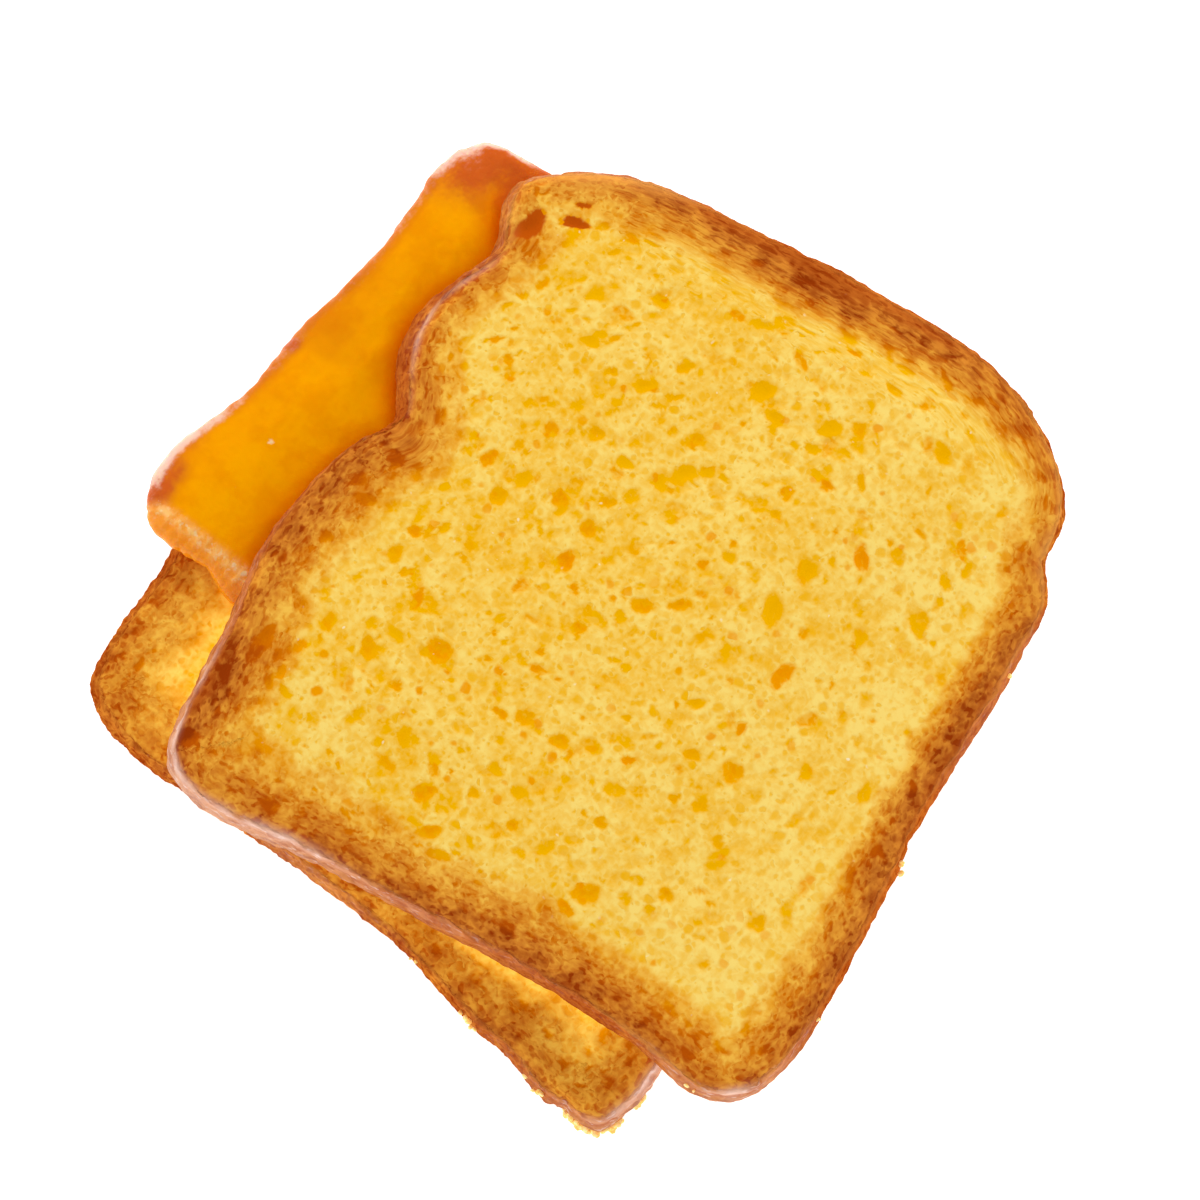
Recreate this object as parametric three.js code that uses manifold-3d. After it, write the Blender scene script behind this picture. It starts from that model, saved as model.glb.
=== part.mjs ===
// A grilled cheese sandwich, in millimetres, +Z up.
//
// Two toasted slices of a square sandwich loaf hold one slice of melted cheese. The lower slice lies flat.
// The cheese lies on its left half and hangs over its left edge. The upper slice lies on the cheese, turned
// a little, and sags onto the lower slice where there is no cheese under it.
// The origin is the centre of the sandwich's footprint, on the surface that it lies on. +Y runs from the
// lower slice's base crust to its crown.

import * as THREE from "three";
import { mergeVertices } from "three/addons/utils/BufferGeometryUtils.js";
import Module from "manifold-3d";

// ---------------------------------------------------------------- driving dimensions

const SLICE_WIDTH = 114.4; // across the pan sides
const SLICE_HEIGHT = 128.2; // from base crust to crown
const SLICE_THICKNESS = 12.5;
const SLICE_DOME = 0.6; // how far the middle of a face stands above its rim
const RIM_RADIUS = 1.9; // rounding of the crust's two edges
const WALL_BULGE = 0.4; // how far the crust swells between the faces

const LOWER_CENTRE = [-3.2, -4.1];
const UPPER_CENTRE = [7.5, 2.1];
const UPPER_TURN = THREE.MathUtils.degToRad(8.4);

const CHEESE_CENTRE = [-24, 6.5];
const CHEESE_SIDE = 88;
const CHEESE_THICKNESS = 3.2;
const FLAP_SWELL = 1.1; // the free flap is this much thicker than the pressed part
const FLAP_DROOP = 3.4; // how far the flap hangs down at FLAP_REACH beyond the bread
const FLAP_REACH = 13;
const GAP = 0.45; // between one layer and the next

const LOWER_TOP = SLICE_THICKNESS + SLICE_DOME; // the middle of the lower slice's upper face
const UPPER_BASE = LOWER_TOP + CHEESE_THICKNESS + 2 * GAP; // the upper slice's underside over the cheese
const SAG = CHEESE_THICKNESS + GAP; // how far the upper slice comes down beyond the cheese
const SAG_REACH = 28; // and over what distance

const SLICE_POINTS = 108; // round a slice
const CHEESE_POINTS = 84; // round the cheese

// ---------------------------------------------------------------- outlines

// Landmarks of the loaf's section, as shares of its half width and half height, from the base crust's left
// end anticlockwise.
const LOAF_SECTION = [
  // base crust, which dips in the middle
  [-0.81, -0.98], [-0.42, -0.96], [-0.05, -0.95], [0.35, -0.94], [0.65, -0.96], [0.82, -0.99],
  // right side
  [0.94, -0.93], [1, -0.72], [0.99, -0.47], [0.965, -0.15], [0.97, 0.06], [0.98, 0.34], [0.98, 0.5],
  // right notch and shoulder
  [0.9, 0.62], [0.91, 0.71], [0.87, 0.81], [0.75, 0.9],
  // crown
  [0.52, 0.985], [0.26, 1.005], [-0.03, 1.005], [-0.35, 0.99], [-0.58, 0.98], [-0.73, 0.945],
  // small left shoulder and its notch
  [-0.85, 0.87], [-0.93, 0.78], [-0.9, 0.69], [-0.86, 0.61],
  // large left shoulder and its notch
  [-0.93, 0.49], [-0.945, 0.36], [-0.9, 0.2], [-0.85, 0.09],
  // left side
  [-0.93, 0.01], [-0.99, -0.18], [-1, -0.39], [-0.965, -0.57], [-0.96, -0.8], [-0.93, -0.93],
];

// The cheese was cut square. Its free left edge has run into soft waves, with a lobe at the near corner.
const CHEESE_SECTION = [
  // near edge and the pressed right side
  [-0.94, -0.95], [-0.7, -0.95], [0.2, -0.98], [0.93, -0.98], [1, -0.85], [1, 0.1], [1, 0.84], [0.93, 0.98],
  // far edge
  [0.3, 1.02], [-0.3, 1.04], [-0.7, 1.03], [-0.93, 1.01],
  // free edge
  [-1.01, 0.89], [-0.98, 0.64], [-0.955, 0.33], [-1, -0.01], [-0.99, -0.23], [-1.01, -0.46], [-1.07, -0.67],
  [-1.06, -0.81],
];

// Where the lower slice differs from the section: [x, y] on the outline, its shift, and how far that reaches.
const LOWER_SHIFTS = [
  { at: [-57, -38], by: [-0.6, 0], reach: 16 },
  { at: [-48, -62], by: [0.4, 2], reach: 18 },
  { at: [0, -61], by: [0, 1.5], reach: 26 },
  { at: [52, -61], by: [2.4, -2.8], reach: 12 },
];

// A closed smooth curve through the landmarks, as equally spaced points [x, y].
function outline(section, width, height, count, shifts = []) {
  const landmarks = section.map(([fx, fy]) => {
    const point = new THREE.Vector3((fx * width) / 2, (fy * height) / 2, 0);
    for (const { at, by, reach } of shifts) {
      const share = Math.exp(-((Math.hypot(point.x - at[0], point.y - at[1]) / reach) ** 2));
      point.x += by[0] * share;
      point.y += by[1] * share;
    }
    return point;
  });
  const curve = new THREE.CatmullRomCurve3(landmarks, true, "centripetal");
  curve.arcLengthDivisions = 20 * landmarks.length;
  const points = curve.getSpacedPoints(count).slice(0, count);
  return points.map((p) => [p.x, p.y]);
}

// How far the outline is from its own centre in the direction of [x, y].
function reachOf(points, x, y) {
  const angle = Math.atan2(y, x);
  const turned = (p) => {
    const d = Math.atan2(p[1], p[0]) - angle;
    return Math.atan2(Math.sin(d), Math.cos(d));
  };
  for (let i = 0; i < points.length; i++) {
    const a = points[i];
    const b = points[(i + 1) % points.length];
    const before = turned(a);
    const after = turned(b);
    if (before <= 0 && after > 0 && after - before < Math.PI) {
      const t = -before / (after - before);
      return THREE.MathUtils.lerp(Math.hypot(...a), Math.hypot(...b), t);
    }
  }
  return Math.hypot(...points[0]);
}

const sliceOutline = outline(LOAF_SECTION, SLICE_WIDTH, SLICE_HEIGHT, SLICE_POINTS);
const lowerOutline = outline(LOAF_SECTION, SLICE_WIDTH, SLICE_HEIGHT, SLICE_POINTS, LOWER_SHIFTS);
const cheeseOutline = outline(CHEESE_SECTION, CHEESE_SIDE, CHEESE_SIDE, CHEESE_POINTS);

// ---------------------------------------------------------------- shared shape functions

const ease = (t) => THREE.MathUtils.smoothstep(t, 0, 1);

// A bump of the given half width round an angle in degrees, 1 at its top.
function bumpAt(angle, centreDegrees, halfWidthDegrees) {
  const d = angle - THREE.MathUtils.degToRad(centreDegrees);
  const wrapped = Math.atan2(Math.sin(d), Math.cos(d));
  return Math.exp(-((wrapped / THREE.MathUtils.degToRad(halfWidthDegrees)) ** 2));
}

// How far the crust leans outwards from the upper face's rim to the lower face's rim: a little everywhere, more
// on the left side, and most under the two left shoulders.
function crustLean(x, y) {
  const angle = Math.atan2(y, x);
  const shoulders = 4.4 * bumpAt(angle, 162, 11) + 3 * bumpAt(angle, 138, 7);
  return 0.3 + shoulders + 0.7 * bumpAt(angle, 110, 22) + 1.6 * bumpAt(angle, 215, 17);
}

// Slow unevenness of a face, in millimetres.
function ripple(x, y, seed) {
  const broad = Math.sin(x / 17 + seed) * Math.cos(y / 21 - seed);
  const small = Math.sin(x / 7.3 - y / 9.1 + 2 * seed);
  return 0.22 * broad + 0.12 * small;
}

// Closes a stack of rings, from the middle of the top over the rim to the middle of the underside.
function closeRings(top, rings, bottom) {
  const count = rings[0].length;
  const positions = [top, ...rings.flat(), bottom].flat();
  const at = (ring, i) => 1 + ring * count + (i % count);
  const last = 1 + rings.length * count;
  const index = [];
  for (let i = 0; i < count; i++) {
    index.push(0, at(0, i), at(0, i + 1));
    for (let ring = 0; ring + 1 < rings.length; ring++) {
      index.push(at(ring, i), at(ring + 1, i), at(ring + 1, i + 1));
      index.push(at(ring, i), at(ring + 1, i + 1), at(ring, i + 1));
    }
    index.push(last, at(rings.length - 1, i + 1), at(rings.length - 1, i));
  }
  const geometry = new THREE.BufferGeometry();
  geometry.setAttribute("position", new THREE.Float32BufferAttribute(positions, 3));
  geometry.setIndex(index);
  return geometry;
}

// ---------------------------------------------------------------- bread

// Shares of the outline for the rings inside a face's rim.
const FACE_RINGS = [0.3, 0.57, 0.78, 0.92];
const HALF_SLICE = SLICE_WIDTH / 2;
const LOWER_SEED = 1.3;
const UPPER_SEED = 4.1;

// How high a slice's upper face stands over its underside. share is how far out [x, y] is, 1 at the outline.
function faceHeight(x, y, share, seed) {
  return SLICE_THICKNESS + (SLICE_DOME + ripple(x, y, seed)) * Math.max(0, 1 - share ** 4);
}

const shareOf = (points, x, y) => Math.hypot(x, y) / reachOf(points, x, y);

// One slice, in its own frame. lift(x, y) raises the whole slice there, and seed sets its upper face's ripple.
// The underside is flat where lift is zero.
function sliceGeometry(points, lift, seed) {
  // Each profile step is [inset from the rim, height, share of the lean].
  const profile = [
    [RIM_RADIUS, SLICE_THICKNESS, 0],
    [0.3 * RIM_RADIUS, SLICE_THICKNESS - 0.3 * RIM_RADIUS, 0],
    [0, SLICE_THICKNESS - RIM_RADIUS, 0.1],
    [-WALL_BULGE, SLICE_THICKNESS / 2, 0.55],
    [0, RIM_RADIUS, 1],
    [0.3 * RIM_RADIUS, 0.3 * RIM_RADIUS, 1],
    [RIM_RADIUS, 0, 1],
  ];
  const place = (point, share, z) => {
    const x = point[0] * share;
    const y = point[1] * share;
    return [x, y, z + lift(x, y)];
  };
  const upper = FACE_RINGS.map((share) =>
    points.map((p) => place(p, share, faceHeight(p[0] * share, p[1] * share, share, seed))),
  );
  const crust = profile.map(([inset, z, lean]) =>
    points.map((p) => place(p, 1 + (lean * crustLean(...p) - inset) / HALF_SLICE, z)),
  );
  const lower = [...FACE_RINGS].reverse().map((share) => points.map((p) => place(p, share, 0)));
  const top = [0, 0, faceHeight(0, 0, 0, seed) + lift(0, 0)];
  return closeRings(top, [...upper, ...crust, ...lower], [0, 0, lift(0, 0)]);
}

// From the upper slice's own frame to the sandwich's.
function fromUpper(x, y) {
  const c = Math.cos(UPPER_TURN);
  const s = Math.sin(UPPER_TURN);
  return [c * x - s * y + UPPER_CENTRE[0], s * x + c * y + UPPER_CENTRE[1]];
}

function toUpper(x, y) {
  const dx = x - UPPER_CENTRE[0];
  const dy = y - UPPER_CENTRE[1];
  const c = Math.cos(UPPER_TURN);
  const s = Math.sin(UPPER_TURN);
  return [c * dx + s * dy, c * dy - s * dx];
}

// The upper slice's height over its own frame: on the cheese, and sagging beyond it.
function upperLift(x, y) {
  const [px, py] = fromUpper(x, y);
  const beyondX = Math.max(0, Math.abs(px - CHEESE_CENTRE[0]) - CHEESE_SIDE / 2);
  const beyondY = Math.max(0, Math.abs(py - CHEESE_CENTRE[1]) - CHEESE_SIDE / 2);
  const beyond = px < CHEESE_CENTRE[0] ? beyondY : Math.hypot(beyondX, beyondY);
  return UPPER_BASE - SAG * ease(beyond / SAG_REACH);
}

// ---------------------------------------------------------------- pores

// A small seeded generator of numbers from 0 to 1.
function randomFrom(seed) {
  let state = seed;
  return () => {
    state = (state + 0x6d2b79f5) | 0;
    let t = Math.imul(state ^ (state >>> 15), 1 | state);
    t = (t + Math.imul(t ^ (t >>> 7), 61 | t)) ^ t;
    return ((t ^ (t >>> 14)) >>> 0) / 4294967296;
  };
}

// The large open pores of the upper face: x, y, length, width and the degrees that the length turns from +X.
const LARGE_PORES = [
  [-48, 46.5, 5.6, 3.2, 75], [-42.5, 50.5, 4, 2, 30], [-17.5, 31, 4.8, 2.8, 30], [-0.5, 40, 4.8, 4, 30],
  [-20.5, 20, 3.2, 3.2, 0], [-4.5, 21.5, 4.4, 3.4, 30], [30, 46, 5, 3.2, -20], [12, 40, 4.8, 3, 30],
  [-29, 3, 3.6, 3.6, 0], [-20, 7.5, 3.6, 3.2, 0], [-13.5, 5.5, 3.6, 3.2, 0], [-14, -1, 4, 3.2, 120],
  [27, 24, 4.6, 3.2, 120], [0.5, -1, 4.6, 2.8, 30], [5.5, 2, 4, 2.6, 30], [19, 9, 6, 3.6, 120],
  [20.5, 17.5, 4.8, 3.6, 120], [40.5, 20.5, 3.2, 3.2, 0], [-24, -24, 5.2, 4.6, 120], [-34, -29.5, 4.8, 3.4, 110],
  [-31.5, -18.5, 4.4, 2.2, 105], [-14.5, -45, 4.8, 3.4, 30], [-10.5, -50, 4.4, 2.8, 30], [0, -27, 3.6, 3, 30],
  [25.5, 0.5, 6, 2.8, 85], [26.5, -17, 4.4, 3.8, 30], [16, -46, 4.8, 4, 30], [27, -39.5, 2.8, 2.8, 0],
  [42, -36, 3.6, 3.2, 30],
];
const PORE_DEPTH = 0.42; // a pore's depth as a share of its width

// Seeded pores as rows like those above, clear of the ones given, of the rim and of a kept circle at the middle.
function scatterPores(points, count, seed, given, kept) {
  const random = randomFrom(seed);
  const pores = [...given];
  for (let tries = 0; pores.length < given.length + count && tries < 4000; tries++) {
    const x = (random() - 0.5) * SLICE_WIDTH;
    const y = (random() - 0.5) * SLICE_HEIGHT;
    const length = 1.9 + 2.2 * random() ** 2;
    const inside = shareOf(points, x, y) < 0.84 && Math.hypot(x, y) > kept;
    const clear = pores.every((p) => Math.hypot(p[0] - x, p[1] - y) > 1 + (p[2] + length) / 2);
    if (inside && clear) pores.push([x, y, length, length * (0.6 + 0.35 * random()), 180 * random()]);
  }
  return pores;
}

const wasm = await Module();
wasm.setup();

function toSolid(geometry) {
  const bare = geometry.clone();
  bare.deleteAttribute("normal");
  bare.deleteAttribute("uv");
  const merged = mergeVertices(bare, 1e-4);
  const vertProperties = new Float32Array(merged.attributes.position.array);
  const triVerts = new Uint32Array(merged.index.array);
  return new wasm.Manifold(new wasm.Mesh({ numProp: 3, vertProperties, triVerts }));
}

function toGeometry(solid) {
  const mesh = solid.getMesh();
  const geometry = new THREE.BufferGeometry();
  geometry.setAttribute("position", new THREE.BufferAttribute(mesh.vertProperties, 3));
  geometry.setIndex(new THREE.BufferAttribute(mesh.triVerts, 1));
  return geometry;
}

// Presses pores into a face. heightAt(x, y) is the face's height there.
function withPores(geometry, pores, heightAt) {
  let bread = toSolid(geometry);
  for (const [x, y, length, width, turn] of pores) {
    const hollow = new THREE.SphereGeometry(1, 8, 4);
    hollow.rotateX(Math.PI / 2); // its poles point up and down
    hollow.scale(length / 2, width / 2, PORE_DEPTH * Math.min(length, width));
    hollow.rotateZ(THREE.MathUtils.degToRad(turn));
    hollow.translate(x, y, heightAt(x, y));
    bread = bread.subtract(toSolid(hollow));
  }
  return toGeometry(bread);
}

// ---------------------------------------------------------------- cheese

// Shares of the cheese's outline for its rings, from the middle of the top to the rim.
const CHEESE_RINGS = [0.3, 0.55, 0.72, 0.82, 0.9, 0.955, 0.985];
const CHEESE_HALF = CHEESE_SIDE / 2;
const CHEESE_RIM = 2.2; // the rim is rounded over this distance

// How far a point of the sandwich lies outside a slice, below zero inside.
function outsideLower(x, y) {
  const [dx, dy] = [x - LOWER_CENTRE[0], y - LOWER_CENTRE[1]];
  return Math.hypot(dx, dy) - reachOf(lowerOutline, dx, dy);
}

function outsideUpper(x, y) {
  const [dx, dy] = toUpper(x, y);
  return Math.hypot(dx, dy) - reachOf(sliceOutline, dx, dy) - crustLean(dx, dy);
}

// The cheese's underside and top at a point [x, y] of the sandwich. It fills the space between the slices, and
// beyond the lower one it hangs.
function cheeseLevels(x, y) {
  const [dx, dy] = [x - LOWER_CENTRE[0], y - LOWER_CENTRE[1]];
  const hang = Math.max(0, outsideLower(x, y)) / FLAP_REACH;
  const wave = 0.3 * Math.sin(y / 6.5 + x / 11) * ease(2 * hang);
  const lying = faceHeight(dx, dy, shareOf(lowerOutline, dx, dy), LOWER_SEED) + GAP;
  const bottom = lying + wave - FLAP_DROOP * hang ** 1.5;
  const pressed = UPPER_BASE - GAP;
  const free = bottom + CHEESE_THICKNESS + FLAP_SWELL;
  return { bottom, top: THREE.MathUtils.lerp(pressed, free, ease(outsideUpper(x, y) / 5)) };
}

function cheeseGeometry() {
  const ring = (share, side) =>
    cheeseOutline.map((p) => {
      const x = CHEESE_CENTRE[0] + p[0] * share;
      const y = CHEESE_CENTRE[1] + p[1] * share;
      const { bottom, top } = cheeseLevels(x, y);
      const inset = Math.min(1, ((1 - share) * CHEESE_HALF) / CHEESE_RIM);
      const round = Math.sqrt(1 - (1 - inset) ** 2);
      return [x, y, (bottom + top) / 2 + (side * round * (top - bottom)) / 2];
    });
  const upper = CHEESE_RINGS.map((share) => ring(share, 1));
  const lower = [...CHEESE_RINGS].reverse().map((share) => ring(share, -1));
  const { bottom, top } = cheeseLevels(...CHEESE_CENTRE);
  return closeRings([...CHEESE_CENTRE, top], [...upper, ring(1, 0), ...lower], [...CHEESE_CENTRE, bottom]);
}

// ---------------------------------------------------------------- assembly

const UPPER_PORES = 6; // seeded ones, beside the large ones
const UNDERSIDE_PORES = 16;
const REST_CIRCLE = 12; // kept flat at the middle of the underside

const toasted = new THREE.MeshStandardMaterial({ color: 0xe9b445, roughness: 0.7, metalness: 0 });
const toastedDark = new THREE.MeshStandardMaterial({ color: 0xd18a35, roughness: 0.7, metalness: 0 });
const melted = new THREE.MeshStandardMaterial({ color: 0xf09410, roughness: 0.35, metalness: 0 });

function mesh(name, geometry, material) {
  geometry.computeVertexNormals();
  const made = new THREE.Mesh(geometry, material);
  made.name = name;
  return made;
}

const flat = () => 0;
const lowerPores = scatterPores(lowerOutline, UNDERSIDE_PORES, 7, [], REST_CIRCLE);
const lowerBread = mesh(
  "bread_slice_bottom",
  withPores(sliceGeometry(lowerOutline, flat, LOWER_SEED), lowerPores, flat),
  toastedDark,
);
lowerBread.position.set(...LOWER_CENTRE, 0);

const cheese = mesh("cheese_slice", cheeseGeometry(), melted);

const upperFace = (x, y) => faceHeight(x, y, shareOf(sliceOutline, x, y), UPPER_SEED) + upperLift(x, y);
const upperPores = scatterPores(sliceOutline, UPPER_PORES, 21, LARGE_PORES, 0);
const upperBread = mesh(
  "bread_slice_top",
  withPores(sliceGeometry(sliceOutline, upperLift, UPPER_SEED), upperPores, upperFace),
  toasted,
);
upperBread.position.set(...UPPER_CENTRE, 0);
upperBread.rotation.z = UPPER_TURN;

const layers = new THREE.Group();
layers.add(lowerBread, cheese, upperBread);
const footprint = new THREE.Box3().setFromObject(layers, true);
const centre = footprint.getCenter(new THREE.Vector3());
layers.position.set(-centre.x, -centre.y, -footprint.min.z);

const sandwich = new THREE.Group();
sandwich.add(layers);

export default sandwich;
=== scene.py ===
"""A grilled cheese sandwich: two toasted slices of square sandwich loaf with melted cheese between them.

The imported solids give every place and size. Each layer's solid is copied, remeshed finely and carved: the
bread gets its open pores, crumbly rim and crust, and the cheese its soft lumps. Small crumbs cling to the
rims. Lengths are in millimetres until a mesh is written back, unless a name or comment says otherwise.
"""

import math
import random

import bpy
import numpy as np
from mathutils import Matrix, Vector, kdtree, noise


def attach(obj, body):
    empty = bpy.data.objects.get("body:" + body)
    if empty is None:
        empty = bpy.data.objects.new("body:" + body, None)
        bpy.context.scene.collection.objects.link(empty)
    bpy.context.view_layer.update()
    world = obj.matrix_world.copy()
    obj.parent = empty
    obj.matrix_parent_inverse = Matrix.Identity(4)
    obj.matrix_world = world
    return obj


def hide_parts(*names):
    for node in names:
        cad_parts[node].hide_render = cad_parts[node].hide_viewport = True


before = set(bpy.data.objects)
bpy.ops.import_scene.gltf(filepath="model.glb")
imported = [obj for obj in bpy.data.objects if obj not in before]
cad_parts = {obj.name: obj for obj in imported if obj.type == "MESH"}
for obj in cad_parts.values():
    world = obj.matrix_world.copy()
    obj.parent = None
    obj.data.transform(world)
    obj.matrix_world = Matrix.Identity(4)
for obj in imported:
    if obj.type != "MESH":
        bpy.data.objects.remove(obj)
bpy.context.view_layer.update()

MM = 0.001

# ---------------------------------------------------------------- sizes and places

UPPER_CENTRE = (7.35, 2.41)  # the middle of the upper slice
UPPER_TURN = math.radians(8.4)  # and how far it is turned
UPPER_LEVEL = 21  # a height that cuts its crust all round
LOWER_CENTRE = (-3.35, -3.79)
LOWER_LEVEL = 6
CHEESE_CENTRE = (-24.15, 6.81)

UPPER_VOXEL = 1.02  # remeshing of the upper slice, before its faces are divided
HIDDEN_SHARE = 0.15  # of the upper slice's hidden faces that stay
LOWER_VOXEL = 0.62
CHEESE_VOXEL = 0.55
WELD = 0.005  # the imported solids' vertices that lie this close are one

OUTLINE_STEP = 0.25  # spacing of the points that stand for a slice's outline
OUTLINE_BLUR = 1.9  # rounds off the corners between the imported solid's flat walls
BLUR_POINTS = 24  # how many points to each side that blur takes in
HEADING_POINTS = 8  # and how many the outline's direction does
FACE_SLOPE = (0.35, 0.85)  # a normal's upward part on a wall and on a face
EDGE_REACH = 5  # how far in from the rim the face is rounded down and the crust's swell fades
ROUNDING_REACH = 6  # and the blurred outline fades
GLOW_REACH = 9  # how far the painted glow reaches in under the upper slice's edge, where light would come in

UPPER_PORES = 1700  # random pores in each face
LOWER_PORES = 1100
UNDERSIDE_PORES = 900
SMALLEST_PORE = 1.0
PORE_SPREAD = 2.5  # by how much the largest of them is wider
PORE_MARGIN = 1.5  # left between a random pore and the rim
STRETCH_REACH = 7  # how far in from the rim the pores are drawn out along it
CROWN_START = 30  # the crown's pores are drawn out more beyond this y
PORE_DEPTH = 0.15  # of a pore's width
DEEPEST_PORE = 1.3
LARGE_PORE_STRENGTH = 0.95

# The large open pores of the upper face, in the slice's own frame: x, y, length, width, the degrees that the
# length turns from +X, and how deep an orange they are, up to 1, or a browner one, up to 2.
LARGE_PORES = [
    (-47.6, 45.5, 6, 4.4, 75, 2), (-41.6, 49.4, 4.8, 2.8, 15, 1.9), (-42, 52.6, 3, 1.5, 35, 1.7),
    (-17.5, 31, 4.8, 2.8, 30, 0.2), (-13.5, 37, 3.6, 2.4, 30, 0.3), (-0.5, 40, 4.8, 4, 30, 0.1),
    (-29, 33, 3.6, 2.6, 20, 0.1), (-20.5, 20, 3.2, 3.2, 0, 0.3), (-4.5, 21.5, 4.4, 3.4, 30, 0),
    (30, 46, 5, 3.2, -20, 0.2), (12, 40, 4.8, 3, 30, 0), (-29, 3, 3.6, 3.6, 0, 0.3),
    (-20, 7.5, 3.6, 3.2, 0, 0.6), (-13, 11, 3.2, 2.4, 20, 0.4), (-13.5, 5.5, 3.6, 3.2, 0, 0.5),
    (-14, -1, 4, 3.2, 120, 0.8),
    (27, 24, 4.6, 3.2, 120, 1), (11.5, 27, 3.2, 2.4, 110, 0.5), (0.5, -1, 4.6, 2.8, 30, 0.5),
    (5.5, 2, 4, 2.6, 30, 0.6), (19, 9, 6, 3.6, 120, 0.1), (20.5, 17.5, 4.8, 3.6, 120, 0.1),
    (32, 27.5, 3.6, 2.4, 120, 0.2), (40.5, 20.5, 3.2, 3.2, 0, 0.2), (5.5, 9.5, 2.4, 2, 30, 0.8),
    (-6.5, -9.5, 2.4, 2.4, 0, 0.6), (25, 8.5, 2.4, 2, 120, 0.6), (-24, -24, 5.2, 4.6, 120, 0.6),
    (-34, -29.5, 4.8, 3.4, 110, 0.4), (-31.5, -18.5, 4.4, 2.2, 105, 0.9), (-42, -29, 3.6, 2.4, 110, 0.5),
    (-37.5, -9, 2.8, 2.4, 110, 0.7), (-14.5, -45, 4.8, 3.4, 30, 0.6), (-10.5, -50, 4.4, 2.8, 30, 0.6),
    (0, -27, 3.6, 3, 30, 0.4), (25.5, 0.5, 6, 2.8, 85, 0.9), (26.5, -17, 4.4, 3.8, 30, 0.5),
    (19.5, -18, 2.8, 2.4, 20, 0.4), (20.5, -25.5, 2.4, 2, 0, 0.4), (12.5, -35, 2.4, 2.4, 0, 0.4),
    (0.5, -42.5, 2.2, 2.2, 0, 0.5), (30, -28, 2.4, 2.4, 0, 0.3), (16, -46, 4.8, 4, 30, 0.5),
    (27, -39.5, 2.8, 2.8, 0, 0.4), (42, -36, 3.6, 3.2, 30, 0.2), (-49.5, -36.2, 5.4, 3.4, 75, 0.9),
    (-44.3, -39.8, 3.2, 1.6, 90, 1), (-52.2, -56, 4.2, 3.6, 60, 0), (-49.5, -17, 3.4, 2.2, 60, 0.8),
]

# How each slice's rim goes, clockwise from its lower right: the angle from the slice's middle in degrees, the
# width of the browned band, how dark it is, the width of the lighter edge outside it, how far the face's edge
# is rounded down, how far the crust swells out, and how pale and glossy it is, with a painted highlight past
# 1.
RIM_COLUMNS = ("angle", "width", "dark", "light_width", "drop", "swell", "pale")
UPPER_RIM_FORM = [
    (-26, 4.8, 0.98, 0.6, 0.5, 0.8, 0), (-31, 4.9, 0.96, 0.6, 0.5, 0.6, 0),
    (-36, 5.2, 0.9, 0.6, 0.5, 0.2, 0), (-44, 6.5, 0.8, 0.8, 0.5, 0.4, 0.6),
    (-50, 6.8, 0.72, 0.9, 0.5, 0.25, 1.15), (-55, 7, 0.7, 1, 0.5, 0.1, 0.6),
    (-62, 6.8, 0.8, 0.8, 0.6, 0.3, 0.1), (-70, 6.5, 0.93, 0.6, 0.8, 0.4, 0.1),
    (-82, 7.5, 0.92, 0.6, 0.9, 0.4, 0.4), (-97, 6.6, 0.86, 0.6, 0.8, 0.4, 0.6),
    (-113, 7.2, 0.76, 0.7, 0.6, 0.3, 1.05), (-129, 9.2, 0.74, 0.7, 0.6, 0.3, 1.2),
    (-138, 8.8, 1.2, 0.8, 0.6, 0.3, 1.1), (-143, 8, 0.96, 1.2, 0.5, 0.3, 0.95),
    (-157, 8.6, 0.9, 0.8, 0.4, 0.4, 0.35), (-165, 8.4, 0.96, 0.8, 0.5, 0.4, 0.15),
    (-172, 8.2, 0.92, 0.6, 0.6, 0.4, 0.1), (175, 8, 0.88, 0.4, 1, 0.3, 0),
    (160, 7, 0.8, 0.5, 2.4, 0.6, 0.1), (151, 6.3, 0.8, 0.5, 2.2, 0.6, 0.15),
    (141, 6.3, 0.66, 0.8, 1.4, 0.4, 0.35), (135, 6.8, 0.7, 2.6, 1.2, -0.4, 0.6),
    (127, 7.5, 0.75, 4, 1, -0.5, 0.6), (118, 7, 1, 2.6, 0.8, 0, 0.4), (111, 6.3, 1.25, 1.2, 0.6, 0.6, 0.1),
    (98, 6.6, 1.5, 0.9, 0.5, 1, 0), (90, 6.6, 1.55, 0.9, 0.5, 1.1, 0), (75, 5.8, 1.3, 0.9, 0.5, 1.2, 0),
    (61, 5.3, 0.88, 0.9, 0.5, 1.3, 0), (47, 5, 0.64, 1.4, 0.5, 0.2, 0), (37, 4.8, 0.7, 1.2, 0.5, 0.9, 0),
    (31, 4.8, 0.8, 1, 0.5, 1.5, 0), (25, 4.6, 0.98, 0.8, 0.5, 0.5, 0.2), (19, 4.3, 1.1, 0.8, 0.5, 1, 0.2),
    (8, 4.4, 1.1, 0.6, 0.5, 1.1, 0.2), (-6, 4.6, 1.1, 0.6, 0.5, 0.9, 0), (-11, 4.6, 1.06, 0.6, 0.5, 0.6, 0),
    (-16, 4.7, 1.03, 0.6, 0.5, 1.4, 0), (-21, 4.8, 1.0, 0.6, 0.5, 1, 0),
]
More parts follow.
